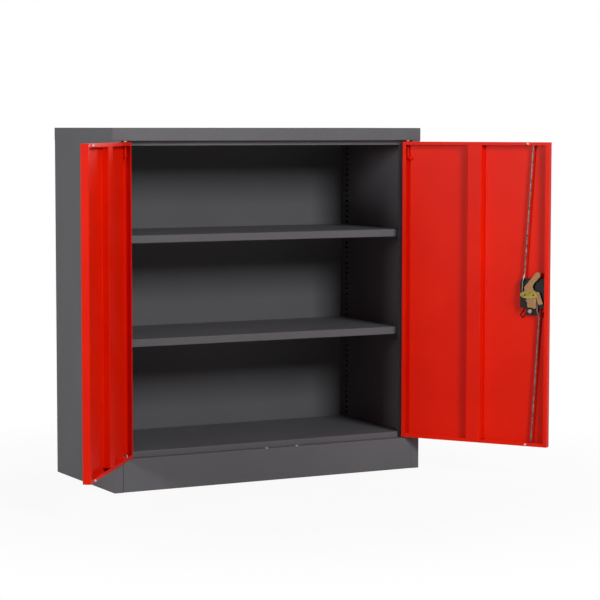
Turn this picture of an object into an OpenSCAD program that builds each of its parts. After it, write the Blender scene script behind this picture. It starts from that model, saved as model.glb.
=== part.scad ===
// Half-height steel tool cabinet with two swing doors, shown with both doors open.
// Origin: middle of the front face at floor level. X to the right, Y to the back, Z up.
// Each door is drawn shut, then turned about its pivots to the angle it stands open at.

/* [Carcass] */
// Overall width of the cabinet
body_w = 914; // [800:1:1100]
// Overall depth of the cabinet
body_d = 400; // [350:1:600]
// Overall height of the cabinet
body_h = 940; // [860:1:1200]
// Thickness of the carcass sheet
sheet = 1; // [0.8:0.1:1.4]
// Inside radius of a fold
fold_r = 1; // [0.5:0.1:2]
// Height of the rim of the top panel
rim_h = 33.5; // [28:0.5:45]
// Width of the folds under the rim, at the sides and back
rim_fold = 20; // [12:1:30]
// Length of the rim's lap round a front corner
rim_lap = 30; // [15:1:60]
// Width of the groove along the lap and under the rim, on the sides
groove_w = 0.7; // [0.4:0.1:1.2]
// Height of the plinth
plinth_h = 86.5; // [70:0.5:120]
// Width of the fold along the foot of the plinth and the back
foot_fold = 20; // [12:1:30]
// Width of a front post, seen beside a shut door
post_w = 24.5; // [20:0.5:30]
// Width of the door stop flange behind a post
stop_w = 28; // [20:1:40]
// Height of the stop strip that hangs under the top panel
top_stop_h = 12; // [11:0.5:16]
// Height of the bottom panel above the ledge of the plinth
floor_rise = 14.7; // [12:0.1:20]
// Width of the rear fold of a side panel
rear_fold = 26; // [20:1:40]
// Thickness of a side wall, from the outer face to the slotted liner
wall_t = 27; // [26:1:40]
// Gap of a seam between two panels
seam = 0.3; // [0.2:0.05:0.6]
// Diameter of the screws that fix the back panel
screw_d = 4.8; // [4:0.1:6]
// Diameter of a screw head
screw_head_d = 10; // [8:0.5:12]
// Height of a screw head
screw_head_h = 2.2; // [1.6:0.1:3]

/* [Shelves] */
// Height of a shelf's edge
shelf_t = 20.5; // [18:0.5:30]
// Distance of the shelf front from the cabinet front
shelf_setback = 42; // [38:1:60]
// Gap between a shelf and the back panel
shelf_back_gap = 3; // [1:0.5:10]
// Gap between a shelf end and the liner
shelf_end_gap = 1.5; // [1.5:0.1:4]
// Width of the fold under a shelf's front and rear edges
shelf_fold = 15; // [10:1:25]
// Height from one clip slot to the next
slot_pitch = 15; // [13:0.5:25]
// Width of a clip slot
slot_w = 14; // [12:0.5:18]
// Height of a clip slot
slot_h = 5; // [4.5:0.1:7]
// Height of the lowest slot above the bottom panel
slot_first = 13.3; // [10:0.1:40]
// Distance of the front slots from the shelf front
slot_front = 25; // [15:1:60]
// Distance of the rear slots from the shelf's rear edge
slot_rear = 32; // [15:1:60]
// Wanted height of the lower shelf's top, met by the nearest slot
lower_shelf_h = 392; // [300:1:450]
// Wanted height of the upper shelf's top, met by the nearest slot
upper_shelf_h = 662; // [560:1:720]
// Thickness of a shelf clip
clip_t = 1.2; // [1:0.1:1.4]
// Length of a clip's ledge
clip_reach = 12; // [8:1:18]

/* [Doors] */
// Thickness of a door
door_t = 20; // [19:0.5:24]
// Thickness of the door sheet
door_sheet = 1; // [0.8:0.1:1.4]
// Gap between a door and its post
hinge_gap = 2; // [1.8:0.1:3]
// Gap between the two shut doors
meeting_gap = 2.5; // [2:0.1:5]
// Gap between a door and the ledge of the plinth
door_gap_low = 2.6; // [2.4:0.1:5]
// Gap between a door and the rim above it
door_gap_high = 3.5; // [3:0.1:6]
// Width of the return on the hinge side of a door
hinge_return = 11.5; // [8:0.5:16]
// Width of the return on the free side of a door
free_return = 9.6; // [7:0.1:11]
// Width of the return along the top of a door
top_return = 8.8; // [7:0.1:14]
// Width of the return along the bottom of a door
low_return = 9.5; // [7:0.1:14]
// Width of the raised face of a door stiffener
rib_w = 42; // [30:1:60]
// Width of each foot of a door stiffener
rib_foot = 10; // [6:1:16]
// Angle that the right door stands open at
right_open = 123.7; // [0:0.1:128]
// Angle that the left door stands open at
left_open = 127.3; // [0:0.1:128]

/* [Door pivots] */
// Diameter of a pivot pin
pivot_d = 5.6; // [5:0.1:6]
// Distance of a pivot from the hinge edge of the door
pivot_in = 10; // [9.5:0.1:12]
// Distance of a pivot behind the front face of the door
pivot_back = 5.5; // [5:0.1:5.8]
// Running clearance round a pin, on the radius
pin_clear = 0.08; // [0.03:0.01:0.1]
// Wall of a pivot bush
bush_wall = 0.9; // [0.8:0.1:1.2]
// Overhang of a bush flange beyond its sleeve
bush_rim = 1.4; // [0.8:0.1:1.4]
// Length of a bush sleeve beyond the sheet
bush_sleeve = 3.5; // [2:0.5:8]
// Height of the upper pivot pin above the door
top_pin_out = 15; // [12:0.5:18]
// Length of the upper pivot pin inside the door
top_pin_in = 43; // [41:1:60]
// Length of the bent tail of the upper pivot pin
top_pin_tail = 15; // [12:1:24]
// Slope of the tail, down from level
tail_slope = 20; // [0:1:30]
// Travel of the upper pivot pin
top_pin_travel = 14; // [12:0.5:16]
// Length of the lower pivot pin below the door
low_pin_out = 14; // [10:0.5:20]
// Height of a door buffer
buffer_h = 4.7; // [3:0.1:6]
// Diameter of a door buffer
buffer_d = 6; // [5:0.5:8]
// Distance of the left door's buffers from its free edge
left_buffer_in = 36; // [20:1:90]
// Distance of the right door's buffers from its free edge
right_buffer_in = 60; // [58:1:90]
// Gap between a buffer and its stop when a door is shut
shut_gap = 0.3; // [0.2:0.1:1]
// Diameter of a rest pad on the ledge of the plinth
pad_d = 8; // [6:0.5:10]
// Distance of the left door's rest pad from the middle
left_pad_in = 15; // [10:1:60]
// Distance of the right door's rest pad from the middle
right_pad_in = 76; // [68:1:120]

/* [Lock] */
// Distance of the spindle from the free edge of the right door
lock_in = 50.8; // [50:0.1:56]
// Height of the spindle above the floor
lock_z = 497; // [420:1:560]
// Width of the lock housing
case_w = 69.5; // [67:0.5:72]
// Height of the lock housing above the spindle
case_up = 43; // [40:1:48]
// Height of the lock housing below the spindle
case_down = 36; // [34:0.5:38]
// Depth of the lock housing's tub
case_t = 12.5; // [11:0.5:13]
// Height of the lock housing's raised back
case_back = 3.5; // [3:0.1:4]
// Width of the housing's frame round the cut-out
bezel_w = 5; // [4:0.5:6]
// Thickness of the housing's frame
bezel_t = 2.5; // [2:0.1:4]
// Width of the tab at the foot of the housing
tab_w = 33; // [28:1:34]
// Distance of the tab's foot below the spindle
tab_down = 55.5; // [53:0.5:60]
// Thickness of the tab
tab_t = 8; // [6:0.5:8.5]
// Diameter of the turning dial of the handle
dial_d = 46; // [40:1:47]
// Height of the grip in front of the dial
grip_h = 12; // [8:0.5:18]
// Width of the grip
grip_w = 12; // [10:0.5:16]
// Diameter of the spindle
spindle_d = 11; // [10:0.5:12]
// Diameter of the key plug
plug_d = 11; // [9:0.5:12]
// Distance of a rod pivot from the spindle
crank_r = 22.2; // [21.5:0.1:23]
// Thickness of the lock plates
plate_t = 2; // [1.5:0.1:2.2]
// Diameter of a crank pin
crank_d = 5; // [4:0.1:5]
// Angle that the handle turns through
lock_turn = 60; // [40:1:60]
// Diameter of a lock rod
rod_d = 5; // [4:0.1:5]
// Depth of the straight run of a rod, from the front of the door
rod_y = 10; // [9:0.5:11]
// Distance of a rod end from the free edge of the door
rod_end_in = 47.4; // [45:0.2:50]
// Clearance round a rod in its guide, on the radius
rod_clear = 0.6; // [0.5:0.1:1]

/* [Hidden] */

$fn = 40;
FOLD_STEPS = 3;
cut = 1;                                            // how far a cutter runs past a face

half_w = body_w / 2;
recess = door_t + buffer_h + shut_gap;              // front face to the door stops
post_x = half_w - post_w;                           // face of a post beside the door
stop_x = post_x - stop_w;                           // free edge of a stop flange
strip_x = stop_x - seam;                            // half length of the stop strips
rim_z = body_h - rim_h;                             // underside of the top panel's rim
back_y = body_d - sheet;                            // rear face of the back panel
groove_t = sheet / 2;                               // depth of a groove
liner_x = half_w - wall_t;                          // face of a liner, inside the cabinet
liner_y0 = recess + sheet;
liner_y1 = back_y - sheet;
liner_z0 = 2 * sheet + seam;
floor_z = plinth_h + floor_rise;                    // top of the bottom panel

shelf_x = liner_x - shelf_end_gap;
shelf_y0 = shelf_setback;
shelf_y1 = liner_y1 - shelf_back_gap;
slot_y = [shelf_y0 + slot_front, shelf_y1 - slot_rear];
slot_z0 = floor_z + slot_first;
slot_count = floor((rim_z - top_stop_h - slot_z0 - slot_h) / slot_pitch) + 1;
clip_lift = 2;                                      // ledge of a clip above its slot's middle
function slot_for(top_z) = round((top_z - shelf_t - clip_lift - slot_z0) / slot_pitch);
lower_slot_z = slot_z0 + slot_for(lower_shelf_h) * slot_pitch;
upper_slot_z = slot_z0 + slot_for(upper_shelf_h) * slot_pitch;
lower_shelf_z = lower_slot_z + clip_lift + shelf_t;
upper_shelf_z = upper_slot_z + clip_lift + shelf_t;

screw_hole = screw_d + 0.4;
back_screw_x = half_w - rear_fold / 2 - 1;
back_screw_z = [for (k = [0:4]) 60 + k * (rim_z - 100) / 4];

door_x1 = post_x - hinge_gap;                       // hinge edge of a shut right door
door_x0 = meeting_gap / 2;                          // free edge of a shut right door
door_z0 = plinth_h + door_gap_low;
door_z1 = rim_z - door_gap_high;
door_mid = (door_x0 + door_x1) / 2;
hinge_x = door_x1 - pivot_in;
hinge_y = pivot_back;

bush_bore = pivot_d + 2 * pin_clear;
bush_d = bush_bore + 2 * bush_wall;
bush_hole = bush_d + 0.1;
door_pin_hole = pivot_d + 4 * pin_clear;
guide_z = door_z1 - top_pin_in + 7;                 // underside of the upper pin's guide
guide_t = 2;
collar_z = guide_z + guide_t + top_pin_travel + 2.5;

lock_x = door_x0 + lock_in;
case_x1 = lock_x + case_w / 2 - 5;                  // side of the housing towards the hinge
case_x0 = case_x1 - case_w;
case_y = case_t + case_back;                        // back of the housing
case_shoulder = 9;                                  // from the tub's top down to its raised back
tab_x1 = lock_x + 15;
tab_x0 = tab_x1 - tab_w;
nut_x = lock_x + 3;
nut_z = lock_z - tab_down + 10.5;
stud_d = 5;

dial_recess_d = dial_d + 2;
dial_y = 4 - bezel_t;                               // front face of the dial's disc
dial_t = 5;
grip_y = dial_y - grip_h;

lock_gap = 0.5;                                     // running gap between layers of the lock
rod_back_y = case_y + lock_gap + rod_d / 2;         // rod level behind the housing
plate_y = rod_back_y + rod_d / 2 + lock_gap;        // underside of the tongue plate
plate_y2 = plate_y + plate_t;
slide_rate = 20.8 / 24 * crank_r;                   // rod travel for one radian of the handle
rod_travel = slide_rate * lock_turn * PI / 180;
rod_jog = 18;                                       // height of a rod's jog
upper_top_z = door_z1 - 0.5;
lower_low_z = door_z0 + 0.5;
upper_jog_z = lock_z + case_up - 6;
lower_jog_z = lock_z - case_down - 5;
low_end_in = rod_end_in + 1;                        // the lower rod's end, from the free edge
upper_set = 3;                                      // a pivot's distance from its rod's slanting line
lower_set = 0.9;
upper_slant = (lock_in + crank_r - upper_set - rod_end_in) / (door_z1 - upper_jog_z - rod_jog);
lower_slant = (low_end_in + lower_set - lock_in + crank_r) / (lower_jog_z - rod_jog - door_z0);
rod_hole = rod_d + 5;
guide_bore = rod_d + 2 * rod_clear;
guide_hole = guide_bore + 2.4;
guide_h = 6;

eye_t = 2.5;
eye_play = 1.4;                                     // clearance round a crank pin, on the radius
eye_reach = crank_r * (1 - cos(lock_turn)) - lower_slant * rod_travel;
eye_slot_d = crank_d + 2 * eye_play;
eye_edge = eye_slot_d / 2 + 0.5;

// Unit vector along v, and the vector turned a quarter turn to the left.
function unit(v) = v / norm(v);
function left(v) = [-v[1], v[0]];
function turned(v, a) = [v[0] * cos(a) - v[1] * sin(a), v[0] * sin(a) + v[1] * cos(a)];

// Path of a fold line with each corner rounded: radius r inside the fold, r + t outside it.
function folded(path, r, t) = [for (i = [0:len(path) - 1]) each
    (i == 0 || i == len(path) - 1) ? [path[i]] :
    let (u = unit(path[i] - path[i - 1]),
         v = unit(path[i + 1] - path[i]),
         side = sign(u[0] * v[1] - u[1] * v[0]),
         radius = side > 0 ? r + t : r,
         angle = acos(u * v),
         start = path[i] - u * radius * tan(angle / 2),
         centre = start + left(u) * radius * side)
    [for (k = [0:FOLD_STEPS])
        centre + turned(-left(u) * radius * side, side * angle * k / FOLD_STEPS)]];

// Points that lie t to the left of a path, with mitred corners.
function beside(path, t) = [for (i = [0:len(path) - 1])
    let (u = i == 0 ? unit(path[1] - path[0]) : unit(path[i] - path[i - 1]),
         v = i == len(path) - 1 ? u : unit(path[i + 1] - path[i]),
         n = left(u), m = left(v))
    path[i] + (n + m) * t / (1 + n * m)];

function reversed(p) = [for (i = [len(p) - 1:-1:0]) p[i]];

// Section of a folded sheet of thickness t that lies to the left of its face line.
module sheet_section(path, t) {
    face = folded(path, fold_r, t);
    polygon(concat(face, reversed(beside(face, t))));
}

// Stands a section drawn in Y and Z up, and runs it along X from -half to half.
module along_x(half) {
    rotate([90, 0, 90]) translate([0, 0, -half]) linear_extrude(2 * half) children();
}

module block(lo, hi) {
    translate(lo) cube(hi - lo);
}

module on_both_sides() {
    children();
    mirror([1, 0, 0]) children();
}

// Places what is drawn on a shut right door where the open door has it.
module on_right_door() {
    translate([hinge_x, hinge_y, 0]) rotate(right_open) translate([-hinge_x, -hinge_y, 0]) children();
}

// The left door mirrors the right one, and stands open at its own angle.
module on_left_door() {
    mirror([1, 0, 0]) translate([hinge_x, hinge_y, 0]) rotate(left_open)
        translate([-hinge_x, -hinge_y, 0]) children();
}

// Round bar from p to q.
module bar(p, q, d) {
    v = q - p;
    translate(p) rotate([0, acos(v[2] / norm(v)), atan2(v[1], v[0])]) cylinder(h = norm(v), d = d);
}

// Round bar through several points, with a slightly fuller round elbow at each bend.
module bent_bar(points, d) {
    for (i = [0:len(points) - 2]) bar(points[i], points[i + 1], d);
    for (i = [1:len(points) - 2]) translate(points[i]) sphere(d = 1.06 * d);
}

// Flat part of the lock, drawn as seen from inside the door with the spindle at 0, 0.
module lock_plate(y, t) {
    translate([lock_x, y + t, lock_z]) rotate([90, 0, 0]) mirror([1, 0, 0]) linear_extrude(t) children();
}

// Round part of the lock on the spindle's axis, from y0 to y1.
module on_spindle(y0, y1, d) {
    translate([lock_x, y0, lock_z]) rotate([-90, 0, 0]) cylinder(h = y1 - y0, d = d);
}

module rounded_rect(x0, x1, z0, z1, r) {
    for (x = [x0 + r, x1 - r], z = [z0 + r, z1 - r]) translate([x, z]) circle(r);
    translate([x0 + r, z0]) square([x1 - x0 - 2 * r, z1 - z0]);
    translate([x0, z0 + r]) square([x1 - x0, z1 - z0 - 2 * r]);
}

// Slot with round ends, centred, l between the centres of its ends.
module long_hole(l, d) {
    for (x = [-l / 2, l / 2]) translate([x, 0]) circle(d = d);
    translate([-l / 2, -d / 2]) square([l, d]);
}

// Carcass

// Holes for one side's screws, through the side panel, the back panel and the liner.
module back_screw_holes() {
    for (z = back_screw_z) translate([back_screw_x, body_d + cut, z])
        rotate([90, 0, 0]) cylinder(h = 3 * sheet + 2 * cut, d = screw_hole);
}

module top_panel() {
    profile = [[body_d - rim_fold, rim_z], [body_d, rim_z], [body_d, body_h], [0, body_h],
        [0, rim_z], [recess + sheet, rim_z]];
    color("dimgray") difference() {
        union() {
            along_x(half_w) sheet_section(profile, sheet);
            on_both_sides() {
                translate([half_w - sheet / 2, 0, 0])
                    along_x(sheet / 2) polygon(folded(profile, fold_r, sheet));
                block([half_w - rim_fold, sheet, rim_z],
                    [half_w - sheet / 2, body_d - sheet, rim_z + sheet]);
            }
            block([-strip_x, recess, rim_z - top_stop_h], [strip_x, recess + sheet, rim_z + sheet / 2]);
        }
        on_both_sides() {
            translate([hinge_x, hinge_y, rim_z - cut]) cylinder(h = sheet + 2 * cut, d = bush_hole);
            block([half_w - groove_t, rim_lap, rim_z - cut],
                [half_w + cut, rim_lap + groove_w, body_h - 2 * sheet]);
        }
        translate([door_x0 + rod_end_in, rod_y, rim_z - cut]) cylinder(h = sheet + 2 * cut, d = rod_hole);
    }
}

module side_panel() {
    profile = [[stop_x, recess], [post_x, recess], [post_x, 0], [half_w, 0],
        [half_w, body_d], [half_w - rear_fold, body_d]];
    color("dimgray") difference() {
        linear_extrude(rim_z) sheet_section(profile, sheet);
        block([half_w - groove_t, 2 * sheet, rim_z - groove_w],
            [half_w + cut, body_d - 2 * sheet, rim_z + cut]);
        back_screw_holes();
    }
}
module right_side_panel() { side_panel(); }
module left_side_panel() { mirror([1, 0, 0]) side_panel(); }

module side_liner() {
    end_x = half_w - sheet - seam;
    web = [[end_x, liner_y1], [liner_x, liner_y1], [liner_x, liner_y0], [end_x, liner_y0]];
    color("dimgray") difference() {
        translate([0, 0, liner_z0]) linear_extrude(rim_z - liner_z0) sheet_section(web, sheet);
        for (y = slot_y, k = [0:slot_count - 1])
            translate([liner_x - cut, y - slot_w / 2, slot_z0 + k * slot_pitch - slot_h / 2])
                cube([sheet + 2 * cut, slot_w, slot_h]);
        back_screw_holes();
    }
}
module right_liner() { side_liner(); }
module left_liner() { mirror([1, 0, 0]) side_liner(); }

module back_panel() {
    panel_x = half_w - sheet - fold_r - seam;           // clear of the fold's inside corner
    color("dimgray") difference() {
        union() {
            block([-panel_x, back_y - sheet, 0], [panel_x, back_y, rim_z - seam]);
            block([-liner_x + seam, back_y - foot_fold, 0], [liner_x - seam, back_y - sheet / 2, sheet]);
        }
        on_both_sides() back_screw_holes();
    }
}

module bottom_panel() {
    profile = [[liner_y1, floor_z - foot_fold], [liner_y1, floor_z], [recess, floor_z], [recess, plinth_h]];
    color("dimgray") difference() {
        along_x(liner_x - seam) sheet_section(profile, sheet);
        on_both_sides() block([strip_x, recess - cut, plinth_h - cut],
            [liner_x + cut, recess + sheet + seam, floor_z + cut]);
    }
}

module plinth() {
    profile = [[recess + sheet, plinth_h], [0, plinth_h], [0, 0], [foot_fold, 0]];
    color("dimgray") difference() {
        along_x(post_x - seam) sheet_section(profile, sheet);
        on_both_sides() {
            block([strip_x, recess - seam, plinth_h - 2 * sheet],
                [half_w, recess + sheet + cut, plinth_h + cut]);
            translate([hinge_x, hinge_y, plinth_h - sheet - cut])
                cylinder(h = sheet + 2 * cut, d = bush_hole);
        }
        translate([door_x0 + low_end_in, rod_y, plinth_h - sheet - cut])
            cylinder(h = sheet + 2 * cut, d = rod_hole);
    }
}

module shelf(top_z) {
    low_z = top_z - shelf_t;
    profile = [[shelf_y1 - shelf_fold, low_z], [shelf_y1, low_z], [shelf_y1, top_z], [shelf_y0, top_z],
        [shelf_y0, low_z], [shelf_y0 + shelf_fold, low_z]];
    color("dimgray") {
        along_x(shelf_x) sheet_section(profile, sheet);
        on_both_sides() translate([shelf_x - sheet / 2, 0, 0])
            along_x(sheet / 2) polygon(folded(profile, fold_r, sheet));
    }
}
module upper_shelf() { shelf(upper_shelf_z); }
module lower_shelf() { shelf(lower_shelf_z); }

// One clip hooks through a slot: its plate lies on the liner and its ledge carries the shelf.
module shelf_clip(y, slot_z) {
    ledge_z = slot_z + clip_lift;
    neck = 2.4;
    color("silver") translate([0, y + slot_w / 2 - 1, 0]) rotate([90, 0, 0]) linear_extrude(slot_w - 2)
        polygon([[liner_x - clip_t, ledge_z + 12], [liner_x, ledge_z + 12],
            [liner_x, slot_z + neck / 2], [liner_x + sheet, slot_z + neck / 2],
            [liner_x + sheet, slot_z + 7], [liner_x + sheet + clip_t, slot_z + 7],
            [liner_x + sheet + clip_t, slot_z - neck / 2], [liner_x, slot_z - neck / 2],
            [liner_x, ledge_z - 12], [liner_x - clip_t, ledge_z - 12],
            [liner_x - clip_t, ledge_z - clip_t], [liner_x - clip_reach, ledge_z - clip_t],
            [liner_x - clip_reach, ledge_z], [liner_x - clip_t, ledge_z]]);
}

module shelf_clips() {
    on_both_sides() for (y = slot_y, z = [lower_slot_z, upper_slot_z]) shelf_clip(y, z);
}

// Screws with a cross recess in the head.
module back_screws() {
    shank = 3 * sheet + 5;
    recess_l = 0.6 * screw_head_d;
    recess_w = 1.2;
    recess_h = 1;
    color("silver") on_both_sides() for (z = back_screw_z) translate([back_screw_x, body_d, z]) {
        rotate([90, 0, 0]) cylinder(h = shank, d = screw_d);
        difference() {
            rotate([-90, 0, 0]) cylinder(h = screw_head_h, d = screw_head_d);
            for (a = [0, 90]) rotate([0, a, 0])
                translate([-recess_l / 2, screw_head_h - recess_h, -recess_w / 2])
                    cube([recess_l, recess_h + cut, recess_w]);
        }
    }
}

// Round pad or buffer with a chamfered end.
module nylon_button(h, d) {
    straight = 0.6 * h;
    cylinder(h = straight, d = d);
    translate([0, 0, straight]) cylinder(h = h - straight, d1 = d, d2 = 0.6 * d);
}

module door_rest_pads() {
    color("white") for (x = [-left_pad_in, right_pad_in])
        translate([x, sheet + pad_d / 2, plinth_h]) nylon_button(door_gap_low - 0.5, pad_d);
}

// Flanged bush with its flange from z = 0 to flange_h and its sleeve below.
module bush(flange_h) {
    difference() {
        union() {
            cylinder(h = flange_h, d = bush_d + 2 * bush_rim);
            translate([0, 0, -sheet - bush_sleeve])
                cylinder(h = sheet + bush_sleeve + flange_h / 2, d = bush_d);
        }
        translate([0, 0, -sheet - bush_sleeve - cut])
            cylinder(h = sheet + bush_sleeve + flange_h + 2 * cut, d = bush_bore);
    }
}

module upper_pivot_bushes() {
    color("ivory") on_both_sides() translate([hinge_x, hinge_y, rim_z]) mirror([0, 0, 1]) bush(1.5);
}

module lower_pivot_bushes() {
    color("ivory") on_both_sides() translate([hinge_x, hinge_y, plinth_h]) bush(door_gap_low - seam);
}

// Doors, drawn as the right one, shut

module door_pan() {
    y1 = door_t;
    profile = [[door_x0 + free_return, y1], [door_x0, y1], [door_x0, 0], [door_x1, 0], [door_x1, y1],
        [door_x1 - hinge_return, y1]];
    difference() {
        union() {
            translate([0, 0, door_z0]) linear_extrude(door_z1 - door_z0) sheet_section(profile, door_sheet);
            for (z = [door_z0, door_z1 - door_sheet])
                translate([0, 0, z]) linear_extrude(door_sheet) polygon(folded(profile, fold_r, door_sheet));
            block([door_x0 + door_sheet, y1 - door_sheet, door_z0],
                [door_x1 - door_sheet, y1, door_z0 + low_return]);
            block([door_x0 + door_sheet, y1 - door_sheet, door_z1 - top_return],
                [door_x1 - door_sheet, y1, door_z1]);
        }
        for (z = [door_z0, door_z1 - door_sheet])
            translate([hinge_x, hinge_y, z - cut]) cylinder(h = door_sheet + 2 * cut, d = door_pin_hole);
    }
}

module right_door_panel() {
    color("red") on_right_door() difference() {
        door_pan();
        case_cut_out();
        for (end = [[rod_end_in, door_z1 - door_sheet], [low_end_in, door_z0]])
            translate([door_x0 + end[0], rod_y, end[1] - cut])
                cylinder(h = door_sheet + 2 * cut, d = guide_hole);
    }
}
module left_door_panel() { color("red") on_left_door() door_pan(); }

// Top-hat section between the returns, its face level with them and its feet on the skin.
module door_stiffener() {
    y0 = door_sheet;
    x0 = door_mid - rib_w / 2;
    x1 = door_mid + rib_w / 2;
    profile = [[x1 + rib_foot, y0 + door_sheet], [x1, y0 + door_sheet], [x1, door_t], [x0, door_t],
        [x0, y0 + door_sheet], [x0 - rib_foot, y0 + door_sheet]];
    z0 = door_z0 + low_return + seam;
    color("red") translate([0, 0, z0]) linear_extrude(door_z1 - top_return - seam - z0)
        sheet_section(profile, door_sheet);
}
module right_door_stiffener() { on_right_door() door_stiffener(); }
module left_door_stiffener() { on_left_door() door_stiffener(); }

// Flat piece in the corner of skin and hinge wall, with its corner cut to clear the fold.
module corner_plate(z, t, from_x, to_y) {
    wall_x = door_x1 - door_sheet;
    corner = fold_r + 0.4;
    translate([0, 0, z]) linear_extrude(t) polygon([[from_x, door_sheet], [wall_x - corner, door_sheet],
        [wall_x, door_sheet + corner], [wall_x, to_y], [from_x, to_y]]);
}

// Reinforcing plate on the bottom of the door with the fixed pivot pin below it.
module lower_pivot() {
    plate_z = door_z0 + door_sheet;
    reinforce_t = 3;
    collar_h = 3;
    pin_h = low_pin_out + door_sheet + reinforce_t + collar_h + 2;
    color("silver") {
        translate([hinge_x, hinge_y, door_z0 - low_pin_out]) cylinder(h = pin_h, d = pivot_d);
        translate([hinge_x, hinge_y, plate_z + reinforce_t]) cylinder(h = collar_h, d = pivot_d + 2);
        corner_plate(plate_z, reinforce_t, hinge_x - 12, door_t - 2 * door_sheet - 2);
    }
}
module right_lower_pivot() { on_right_door() lower_pivot(); }
module left_lower_pivot() { on_left_door() lower_pivot(); }

// Angle on the hinge wall that guides the sliding upper pin.
module pin_guide() {
    far_y = hinge_y + 7;
    foot_h = 16;
    color("red") difference() {
        union() {
            corner_plate(guide_z, guide_t, hinge_x - 7, far_y);
            corner_plate(guide_z, foot_h, door_x1 - door_sheet - guide_t, far_y);
        }
        translate([hinge_x, hinge_y, guide_z - cut]) cylinder(h = guide_t + 2 * cut, d = door_pin_hole);
    }
}
module right_pin_guide() { on_right_door() pin_guide(); }
module left_pin_guide() { on_left_door() pin_guide(); }

// Sliding pin with a collar for its spring and a bent tail to pull it down by.
module upper_pin() {
    tail_z = door_z1 - top_pin_in;
    tip_z = door_z1 + top_pin_out;
    color("firebrick") translate([hinge_x, hinge_y, 0]) {
        bent_bar([[-top_pin_tail * cos(tail_slope), 0, tail_z - top_pin_tail * sin(tail_slope)],
            [0, 0, tail_z], [0, 0, tip_z - 1.5]], pivot_d);
        translate([0, 0, tip_z - 1.5]) cylinder(h = 1.5, d1 = pivot_d, d2 = pivot_d - 2);
        translate([0, 0, collar_z]) cylinder(h = 1.6, d = pivot_d + 2.6);
    }
}
module right_upper_pin() { on_right_door() upper_pin(); }
module left_upper_pin() { on_left_door() upper_pin(); }

module door_buffers(in) {
    color("white") for (z = [door_z0 + low_return / 2, door_z1 - top_return / 2])
        translate([door_x0 + in, door_t, z]) rotate([-90, 0, 0]) nylon_button(buffer_h, buffer_d);
}
module right_door_buffers() { on_right_door() door_buffers(right_buffer_in); }
module left_door_buffers() { on_left_door() door_buffers(left_buffer_in); }

// Lock: a housing through the right door, a dial outside, plates and rods inside

module tub_outline(grow) {
    rounded_rect(case_x0 - grow, case_x1 + grow, lock_z - case_down - grow, lock_z + case_up + grow, 4);
}

module case_outline(grow) {
    tub_outline(grow);
    rounded_rect(tab_x0 - grow, tab_x1 + grow, lock_z - tab_down - grow, lock_z - case_down / 2, 3);
}

// Runs an outline drawn in X and Z through the door from y0 to y1.
module through_door(y0, y1) {
    translate([0, y1, 0]) rotate([90, 0, 0]) linear_extrude(y1 - y0) children();
}

module case_cut_out() {
    through_door(-cut, door_sheet + cut) case_outline(seam);
}

module lock_housing() {
    color("black") on_right_door() difference() {
        union() {
            through_door(0, tab_t) case_outline(0);
            through_door(tab_t - 1, case_t) tub_outline(0);
            through_door(case_t - 1, case_y)
                rounded_rect(case_x0, case_x1, lock_z - case_down, lock_z + case_up - case_shoulder, 4);
            through_door(-bezel_t, 0) case_outline(bezel_w);
        }
        on_spindle(-bezel_t - cut, dial_y + dial_t + lock_gap, dial_recess_d);
        on_spindle(0, case_y + cut, spindle_d + 0.2);
        translate([nut_x, 0, nut_z]) rotate([-90, 0, 0]) cylinder(h = case_y, d = stud_d + 0.4);
    }
}

// Hexagon nut on the stud that holds the foot of the housing.
module housing_nut() {
    nut_h = 4;
    color("silver") on_right_door() translate([nut_x, 0, nut_z]) rotate([-90, 0, 0]) {
        cylinder(h = tab_t + nut_h + 1.5, d = stud_d);
        translate([0, 0, tab_t]) cylinder(h = nut_h, d = 2.5 * stud_d, $fn = 6);
    }
}

// Wire spring loops that grip the skin beside the housing's foot.
module housing_clips() {
    wire_d = 1.8;
    wire_y = door_sheet + wire_d / 2 + 0.2;
    raised_y = wire_y + 1;
    foot_z = lock_z - case_down;
    end_z = foot_z - 14.5;
    color("black") on_right_door() {
        bent_bar([[case_x1 - 5, wire_y, foot_z], [case_x1 - 5, wire_y, foot_z - 2],
            [case_x1 - 7, raised_y, foot_z - 7], [case_x1 + 4, raised_y, foot_z - 19],
            [case_x1 - 4, raised_y, foot_z - 27], [tab_x1 + 3, wire_y, end_z],
            [tab_x1, wire_y, end_z]], wire_d);
        bent_bar([[case_x0 + 14, wire_y, foot_z], [case_x0 + 14, wire_y, foot_z - 2],
            [case_x0 + 13, raised_y, foot_z - 20], [case_x0 + 8, raised_y, foot_z - 24],
            [case_x0 + 7, raised_y, foot_z - 10]], wire_d);
    }
}

// Nylon collar for a rod, its flange below z = 0 and its neck above.
module rod_guide() {
    difference() {
        union() {
            translate([0, 0, door_sheet - guide_h]) cylinder(h = guide_h, d = guide_hole - 0.2);
            translate([0, 0, door_sheet - guide_h]) cylinder(h = guide_h - door_sheet, d = guide_hole + 3);
        }
        translate([0, 0, door_sheet - guide_h - cut]) cylinder(h = guide_h + 2 * cut, d = guide_bore);
    }
}

// The collars guide the rods through the top and the bottom of the door.
module rod_guides() {
    color("black") on_right_door() {
        translate([door_x0 + rod_end_in, rod_y, door_z1 - door_sheet]) rod_guide();
        translate([door_x0 + low_end_in, rod_y, door_z0 + door_sheet]) mirror([0, 0, 1]) rod_guide();
    }
}

// Disc with a grip bar across it, which stands upright when the lock is shut.
module handle_dial() {
    color("black") on_right_door() difference() {
        union() {
            on_spindle(dial_y, dial_y + dial_t, dial_d);
            on_spindle(grip_y, dial_y + 1, plug_d + 9);
            lock_plate(grip_y, grip_h + 1) rotate(90 + lock_turn) long_hole(dial_d - grip_w - 4, grip_w);
        }
        on_spindle(grip_y - cut, dial_y + dial_t - 1, plug_d + 2 * pin_clear);
    }
}

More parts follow.
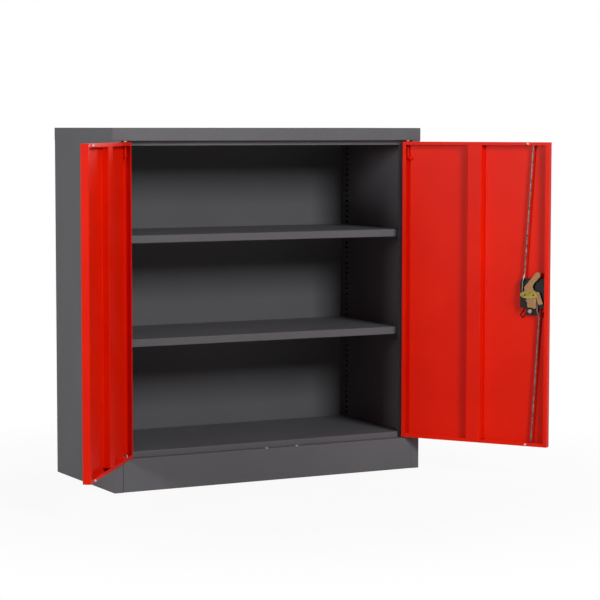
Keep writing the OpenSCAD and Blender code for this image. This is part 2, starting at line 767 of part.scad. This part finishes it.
module handle_spindle() {
    color("silver") on_right_door() {
        on_spindle(dial_y + dial_t, plate_y, spindle_d);
        on_spindle(plate_y - 1, plate_y, 2 * spindle_d);
    }
}

// Outline of the tongue plate: a slanting tongue, a tail below and an ear for a crank pin.
module tongue_outline() {
    tip = [23, 53.4];
    tip_r = 7.7;
    polygon(concat([[-14.3, 0], [-14.3, 20.5]],
        [for (a = [138:-14.5:-36]) tip + tip_r * [cos(a), sin(a)]],
        [[12.6, 31], [9.7, 22.5], [12.2, 13], [crank_r - 2, 9], [crank_r + 6, 8], [crank_r + 16.6, -22.5],
         [crank_r + 6, -26.5], [crank_r - 4.5, -3], [19.9, -9], [19.9, -34], [14, -36.6], [6, -33.4],
         [-3, -33.8], [-5.8, -31], [-5.8, -20], [-10, -16], [-7, -11], [-12, -8.5]]));
}

// The tongue's end is joggled towards the door, so that it draws the other door shut.
module tongue_plate() {
    joggle = 1.2;
    color("goldenrod") on_right_door() {
        lock_plate(plate_y, plate_t) difference() {
            tongue_outline();
            translate([crank_r, 0]) circle(d = crank_d + 0.1);
            beyond_bend(plate_t);
        }
        lock_plate(plate_y - joggle, plate_t) intersection() {
            tongue_outline();
            beyond_bend(0);
        }
    }
}

// The part of the plane past the tongue's bend, by a given distance.
module beyond_bend(past) {
    translate([7, 34.3]) rotate(-32.5) translate([-30, past]) square(60);
}

module rod_crossbar() {
    bar_l = crank_r + 3.2;
    flat_l = crank_r - 6;
    bar_h = 16;
    end_h = 5;
    lip = 1.2;
    color("gold") on_right_door() {
        lock_plate(plate_y2, plate_t) difference() {
            polygon([[-bar_l, end_h / 2], [-bar_l, -end_h / 2], [-flat_l, -bar_h / 2], [flat_l, -bar_h / 2],
                [bar_l, -end_h / 2], [bar_l, end_h / 2], [flat_l, bar_h / 2], [-flat_l, bar_h / 2]]);
            for (x = [-crank_r, crank_r]) translate([x, 0]) circle(d = crank_d + 0.1);
        }
        lock_plate(plate_y2 + plate_t, 1.4) for (z = [-bar_h / 2, bar_h / 2 - lip])
            translate([-flat_l, z]) square([2 * flat_l, lip]);
    }
}

module crossbar_rivets() {
    color("dimgray") on_right_door() for (x = [-11.8, 11.8])
        lock_plate(plate_y2 + plate_t, 1.2) translate([x, 0]) circle(d = 5);
}

// Pins of the crossbar on which the rod eyes slide.
module crank_pins() {
    color("gold") on_right_door() for (x = [-crank_r, crank_r]) {
        lock_plate(case_y + lock_gap, plate_y2 + plate_t - case_y - lock_gap) translate([x, 0])
            circle(d = crank_d);
        lock_plate(plate_y2 + plate_t, 1) translate([x, 0]) circle(d = crank_d + 1);
    }
}

module key_plug() {
    color("silver") on_right_door() difference() {
        union() {
            on_spindle(grip_y, dial_y + dial_t - 1.5, plug_d);
            on_spindle(grip_y - 1, grip_y, plug_d + 3);
        }
        lock_plate(grip_y - 1 - cut, 5 + cut) translate([-0.8, -4]) square([1.6, 8]);
    }
}

// Slotted eye of a rod: the slot runs from the crank pin towards the spindle.
module rod_eye(side) {
    eye_wall = 2;
    lock_plate(rod_back_y - eye_t / 2, eye_t) translate([side * (crank_r - eye_reach / 2), 0]) difference() {
        long_hole(eye_reach, eye_slot_d + 2 * eye_wall);
        long_hole(eye_reach, eye_slot_d);
    }
}

// A rod leaves its eye behind the housing, jogs towards the skin and slants to its guide.
function door_point(s, y, z) = [door_x0 + s, y, z];

module upper_rod() {
    jog_in = rod_end_in + upper_slant * (door_z1 - upper_jog_z - rod_jog);
    color("silver") on_right_door() {
        rod_eye(-1);
        bent_bar([door_point(lock_in + crank_r, rod_back_y, lock_z + eye_edge),
            door_point(jog_in + 2, rod_back_y, upper_jog_z),
            door_point(jog_in, rod_y, upper_jog_z + rod_jog),
            door_point(rod_end_in - upper_slant * (upper_top_z - door_z1), rod_y, upper_top_z)], rod_d);
    }
}

module lower_rod() {
    jog_in = low_end_in - lower_slant * (lower_jog_z - rod_jog - door_z0);
    color("silver") on_right_door() {
        rod_eye(1);
        bent_bar([door_point(lock_in - crank_r, rod_back_y, lock_z - eye_edge),
            door_point(jog_in + 2.6, rod_back_y, lower_jog_z),
            door_point(jog_in, rod_y, lower_jog_z - rod_jog),
            door_point(low_end_in + lower_slant * (door_z0 - lower_low_z), rod_y, lower_low_z)], rod_d);
    }
}

top_panel();
left_side_panel();
right_side_panel();
left_liner();
right_liner();
back_panel();
bottom_panel();
plinth();
upper_shelf();
lower_shelf();
shelf_clips();
back_screws();
door_rest_pads();
upper_pivot_bushes();
lower_pivot_bushes();
left_door_panel();
left_door_stiffener();
left_lower_pivot();
left_pin_guide();
left_upper_pin();
left_door_buffers();
right_door_panel();
right_door_stiffener();
right_lower_pivot();
right_pin_guide();
right_upper_pin();
right_door_buffers();
lock_housing();
housing_clips();
housing_nut();
rod_guides();
handle_dial();
handle_spindle();
tongue_plate();
rod_crossbar();
crossbar_rivets();
crank_pins();
key_plug();
upper_rod();
lower_rod();
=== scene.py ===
import math

import bpy
from mathutils import Matrix, Vector

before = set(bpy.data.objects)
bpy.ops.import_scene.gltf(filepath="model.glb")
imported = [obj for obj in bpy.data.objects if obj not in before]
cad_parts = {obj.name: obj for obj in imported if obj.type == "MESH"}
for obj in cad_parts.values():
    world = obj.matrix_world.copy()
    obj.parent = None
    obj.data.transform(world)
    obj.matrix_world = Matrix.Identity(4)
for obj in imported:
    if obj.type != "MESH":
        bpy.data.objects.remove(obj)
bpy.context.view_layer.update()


# Carcass: top, side panels, liners, back, bottom and plinth.
# Folded 1 mm mild steel, spot-welded and screwed, then coated as loose panels.
# Fine-textured anthracite polyester powder, oven cured: a soft sheen over a faint orange peel.
mm = 0.001


def linear(hex_colour):
    """Linear RGBA of an sRGB colour such as "#4c4c4e"."""
    parts = [int(hex_colour[i:i + 2], 16) / 255 for i in (1, 3, 5)]
    return [c / 12.92 if c <= 0.04045 else ((c + 0.055) / 1.055) ** 2.4 for c in parts] + [1.0]


def add(tree, kind, inputs=None, **settings):
    """Add a shader node, set its properties, and give each named input a value or a link."""
    made = tree.nodes.new("ShaderNode" + kind)
    for name, value in settings.items():
        setattr(made, name, value)
    for name, value in (inputs or {}).items():
        if isinstance(value, bpy.types.NodeSocket):
            tree.links.new(value, made.inputs[name])
        else:
            made.inputs[name].default_value = value
    return made


def new_material(name):
    """A material with an empty tree, its surface input and its object coordinates."""
    material = bpy.data.materials.new(name)
    material.use_nodes = True
    tree = material.node_tree
    tree.nodes.clear()
    surface = add(tree, "OutputMaterial").inputs["Surface"]
    return material, tree, surface, add(tree, "TexCoord").outputs["Object"]


def blend(ramp, tones, low, high):
    """Lay the tones along a colour ramp, evenly spaced from the low to the high position."""
    stops = ramp.elements
    stops[0].position, stops[1].position = low, high
    for i in range(1, len(tones) - 1):
        stops.new(low + (high - low) * i / (len(tones) - 1))
    for stop, tone in zip(stops, tones):
        stop.color = linear(tone)


def powder_coat(name, colour, shade, roughness, specular):
    """Cured powder: two close tones in broad soft clouds, orange peel, and sheet that isn't quite flat."""
    material, tree, surface, place = new_material(name)
    cloud_size, peel_size, ripple_size = 180 * mm, 2.5 * mm, 260 * mm
    peel_height, ripple_height = 0.15 * mm, 6 * mm
    peel_strength, ripple_strength = 0.25, 0.12
    smoother, rougher = 0.04, 0.06
    clouds = add(tree, "TexNoise", {"Vector": place, "Scale": 1 / cloud_size, "Detail": 3})
    grain = add(tree, "TexNoise", {"Vector": place, "Scale": 1 / peel_size, "Detail": 2})
    ripple = add(tree, "TexNoise", {"Vector": place, "Scale": 1 / ripple_size, "Detail": 1})
    tone = add(tree, "ValToRGB", {"Fac": clouds.outputs["Fac"]})
    blend(tone.color_ramp, [shade, colour], low=0.35, high=0.65)
    gloss = add(tree, "MapRange", {"Value": grain.outputs["Fac"], "To Min": roughness - smoother,
                                   "To Max": roughness + rougher})
    waves = add(tree, "Bump", {"Height": ripple.outputs["Fac"], "Strength": ripple_strength,
                               "Distance": ripple_height})
    skin = add(tree, "Bump", {"Height": grain.outputs["Fac"], "Strength": peel_strength,
                              "Distance": peel_height, "Normal": waves.outputs["Normal"]})
    shader = add(tree, "BsdfPrincipled", {"Base Color": tone.outputs["Color"], "IOR": 1.5,
                                          "Roughness": gloss.outputs["Result"],
                                          "Specular IOR Level": specular,
                                          "Normal": skin.outputs["Normal"]})
    tree.links.new(shader.outputs[0], surface)
    return material


def finish(material, *nodes):
    """Give the material to carried-over pieces."""
    for name in nodes:
        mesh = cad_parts[name].data
        mesh.materials.clear()
        mesh.materials.append(material)


anthracite = powder_coat("anthracite_powder_coat", "#626265", "#5f5f62", roughness=0.5, specular=0.1)
finish(anthracite, "top_panel", "left_side_panel", "right_side_panel", "left_liner", "right_liner",
       "back_panel", "bottom_panel", "plinth")

# Shelves: two trays folded on all four sides, lifted in and out by hand.
# The same anthracite powder as the carcass.
finish(anthracite, "upper_shelf", "lower_shelf")

# Shelf clips, back screws, lower pivots, handle spindle and key plug: pressed or turned steel.
# A thin blue-white zinc plate over the steel: a dull mirror, patchy where the passivation took
# unevenly.


def filmed_steel(name, bright, dull, roughness, patch_size=6 * mm):
    """Steel under a thin film: cloudy patches of two tones, the bright ones rougher than the dull."""
    material, tree, surface, place = new_material(name)
    smoother, rougher = 0.08, 0.12
    patches = add(tree, "TexNoise", {"Vector": place, "Scale": 1 / patch_size, "Detail": 4})
    tone = add(tree, "ValToRGB", {"Fac": patches.outputs["Fac"]})
    blend(tone.color_ramp, [dull, bright], low=0.3, high=0.7)
    gloss = add(tree, "MapRange", {"Value": patches.outputs["Fac"], "To Min": roughness - smoother,
                                   "To Max": roughness + rougher})
    shader = add(tree, "BsdfPrincipled", {"Base Color": tone.outputs["Color"], "Metallic": 1.0,
                                          "Roughness": gloss.outputs["Result"]})
    tree.links.new(shader.outputs[0], surface)
    return material


zinc = filmed_steel("bright_zinc_plate", "#d8d9dc", "#a9abb0", roughness=0.32)
finish(zinc, "shelf_clips", "back_screws", "left_lower_pivot", "right_lower_pivot",
       "handle_spindle", "key_plug")

# Rest pads, pivot bushes and door buffers: small mouldings of natural nylon, pushed into the sheet.
# Milky off-white with a dull sheen and a little light passing through.


def moulding(name, colour, shade, roughness, specular, translucent=0.0):
    """Moulded nylon: two close tones, and the fine grain of an eroded mould."""
    material, tree, surface, place = new_material(name)
    grain_size, cloud_size = 0.8 * mm, 12 * mm
    grain_height, grain_strength = 0.1 * mm, 0.3
    scatter = (1.5 * mm, 1.4 * mm, 1.2 * mm)
    grain = add(tree, "TexNoise", {"Vector": place, "Scale": 1 / grain_size, "Detail": 2})
    clouds = add(tree, "TexNoise", {"Vector": place, "Scale": 1 / cloud_size, "Detail": 2})
    tone = add(tree, "ValToRGB", {"Fac": clouds.outputs["Fac"]})
    blend(tone.color_ramp, [shade, colour], low=0, high=1)
    texture = add(tree, "Bump", {"Height": grain.outputs["Fac"], "Strength": grain_strength,
                                 "Distance": grain_height})
    shader = add(tree, "BsdfPrincipled", {"Base Color": tone.outputs["Color"], "IOR": 1.53,
                                          "Roughness": roughness, "Normal": texture.outputs["Normal"],
                                          "Specular IOR Level": specular,
                                          "Subsurface Weight": translucent,
                                          "Subsurface Radius": scatter})
    tree.links.new(shader.outputs[0], surface)
    return material


nylon = moulding("natural_nylon", "#d9d4d2", "#c8c2c0", roughness=0.45, specular=0.5, translucent=0.2)
finish(nylon, "door_rest_pads", "upper_pivot_bushes", "lower_pivot_bushes", "left_door_buffers",
       "right_door_buffers")

# Doors: folded pans with a top-hat stiffener welded between the returns.
# Semi-gloss red powder, a touch glossier than the carcass, on the upper pins and their guides too.
red = powder_coat("red_powder_coat", "#e21c00", "#dc1700", roughness=0.4, specular=0.1)
finish(red, "left_door_panel", "right_door_panel", "left_door_stiffener", "right_door_stiffener",
       "left_pin_guide", "right_pin_guide", "left_upper_pin", "right_upper_pin")

# Lock housing, dial and rod guides: glass-filled black nylon, injection moulded.
# Near black, satin, with the mould's fine grain.
black = moulding("black_moulded_nylon", "#0d0b0c", "#090808", roughness=0.42, specular=0.15)
finish(black, "lock_housing", "handle_dial", "rod_guides")

# Spring clips of the housing: oil-tempered spring wire, bent to loops.
# Near black, with the dull gloss of its temper scale.
finish(filmed_steel("oil_tempered_wire", "#2b2422", "#171312", roughness=0.5), "housing_clips")

# Tongue plate, crossbar and crank pins: pressed or turned steel, zinc plated and yellow passivated.
# The chromate film shifts from olive yellow to tan and pink as its thickness changes.
# The crossbar's rivets are plain steel under a thin brown oxide.


def yellow_passivate(name, tones, roughness):
    """Chromated zinc: tones laid over a cloudy film that drifts across the piece."""
    material, tree, surface, place = new_material(name)
    film_size = 22 * mm
    film = add(tree, "TexNoise", {"Vector": place, "Scale": 1 / film_size, "Detail": 5, "Distortion": 0.6})
    tone = add(tree, "ValToRGB", {"Fac": film.outputs["Fac"]})
    blend(tone.color_ramp, tones, low=0.32, high=0.68)
    shader = add(tree, "BsdfPrincipled", {"Base Color": tone.outputs["Color"], "Metallic": 1.0,
                                          "Roughness": roughness})
    tree.links.new(shader.outputs[0], surface)
    return material


yellow = yellow_passivate("yellow_passivated_zinc", ["#6a602a", "#7c7238", "#5e562e"], roughness=0.4)
finish(yellow, "rod_crossbar", "crank_pins")
tan = yellow_passivate("tan_passivated_zinc", ["#7c6238", "#72583c", "#886654"], roughness=0.42)
finish(tan, "tongue_plate")
finish(filmed_steel("oxidised_rivet_steel", "#4a4438", "#2c2822", roughness=0.5), "crossbar_rivets")

# Lock rods and the nut of the housing: 5 mm drawn wire and turned steel under thin zinc.
# A bright grey, tinted reddish brown in patches along its length: a painted reflection of the red door
# around them.
zinc_with_painted_red_reflection = filmed_steel("zinc_wire_with_painted_red_reflection", "#8c8080", "#544a4a", roughness=0.28, patch_size=9 * mm)
finish(zinc_with_painted_red_reflection, "upper_rod", "lower_rod", "housing_nut")

# Camera: the pinhole camera that fits the photograph's straight edges, its focal length in pixels.
# Places are in metres and turns in radians.
photo_width, focal_pixels = 600, 2143.6
camera_place = (-2.60846, -5.04891, 0.94629)
yaw, dip, tilt = 0.4898, 0.0812, 0.001

scene = bpy.context.scene
camera_data = bpy.data.cameras.new("camera")
camera_data.sensor_width = 36
camera_data.lens = camera_data.sensor_width * focal_pixels / photo_width
camera = bpy.data.objects.new("camera", camera_data)
scene.collection.objects.link(camera)
aimed = Matrix.Rotation(-yaw, 3, "Z") @ Matrix.Rotation(math.pi / 2 - dip, 3, "X")
camera.rotation_euler = (aimed @ Matrix.Rotation(tilt, 3, "Z")).to_euler()
camera.location = camera_place
scene.camera = camera

# Floor: a matt grey sheet that shows as white to the camera, to shiny faces and through glass.
# Within near_reach of the origin the white covers it a little less, so the soft shadow shows, and
# from far_reach on it covers it wholly.


def background_rays(tree):
    """1 for a ray that shows the background: from the camera, off a shiny face or through glass."""
    path = add(tree, "LightPath")
    shown = path.outputs["Is Camera Ray"]
    for kind in ("Is Glossy Ray", "Is Transmission Ray"):
        shown = add(tree, "Math", {0: shown, 1: path.outputs[kind]}, operation="MAXIMUM").outputs[0]
    return shown


floor_half, near_reach, far_reach = 30, 0.7, 1.4
near_white = 0.93
white = (1, 1, 1, 1)
corners = [(-floor_half, -floor_half, 0), (floor_half, -floor_half, 0),
           (floor_half, floor_half, 0), (-floor_half, floor_half, 0)]
floor_mesh = bpy.data.meshes.new("floor")
floor_mesh.from_pydata(corners, [], [(0, 1, 2, 3)])
floor = bpy.data.objects.new("floor", floor_mesh)
scene.collection.objects.link(floor)
floor_material, tree, surface, place = new_material("pale_floor")
matt = add(tree, "BsdfDiffuse", {"Color": linear("#c4c4c4")})
glow = add(tree, "Emission", {"Color": white, "Strength": 1.0})
reach = add(tree, "VectorMath", {0: place}, operation="LENGTH")
fade = add(tree, "MapRange", {"Value": reach.outputs["Value"], "From Min": near_reach,
                              "From Max": far_reach, "To Min": near_white, "To Max": 1.0})
seen = add(tree, "Math", {0: background_rays(tree), 1: fade.outputs["Result"]}, operation="MULTIPLY")
mixed = add(tree, "MixShader", {"Fac": seen.outputs[0], 1: matt.outputs[0], 2: glow.outputs[0]})
tree.links.new(mixed.outputs[0], surface)
floor_mesh.materials.append(floor_material)

# World: white behind the cabinet, and dark to the light that falls on it.
world = bpy.data.worlds.new("studio")
scene.world = world
world.use_nodes = True
tree = world.node_tree
tree.nodes.clear()
surround = add(tree, "Background", {"Color": white, "Strength": background_rays(tree)})
tree.links.new(surround.outputs[0], add(tree, "OutputWorld").inputs["Surface"])

# Lamps: a broad one above the front, one from the left past the open door, a small one over the left
# front corner, and two behind the cabinet that light its back and right side. Powers are in watts.


def soft_lamp(name, place, aim, size, power):
    """A square area lamp at a place, turned to face its aim."""
    data = bpy.data.lights.new(name, "AREA")
    data.size = size
    data.energy = power
    lamp = bpy.data.objects.new(name, data)
    scene.collection.objects.link(lamp)
    lamp.location = place
    lamp.rotation_euler = (Vector(aim) - Vector(place)).to_track_quat("-Z", "Y").to_euler()


middle = (0, 0, 0.5)
soft_lamp("front_lamp", place=(0.55, -3.43, 1.98), aim=(0, 0.2, 0.5), size=0.95, power=96)
soft_lamp("side_lamp", place=(-3.6, -1.35, 1.3), aim=middle, size=0.6, power=60)
soft_lamp("rim_lamp", place=(-0.5, -0.35, 1.2), aim=(-0.4, 0, 0.93), size=0.3, power=0.45)
soft_lamp("rear_lamp", place=(-0.2, 4.2, 2.0), aim=middle, size=1.4, power=80)
soft_lamp("right_lamp", place=(3.6, 2.4, 1.8), aim=middle, size=1.4, power=110)
scene.view_settings.view_transform = "Standard"
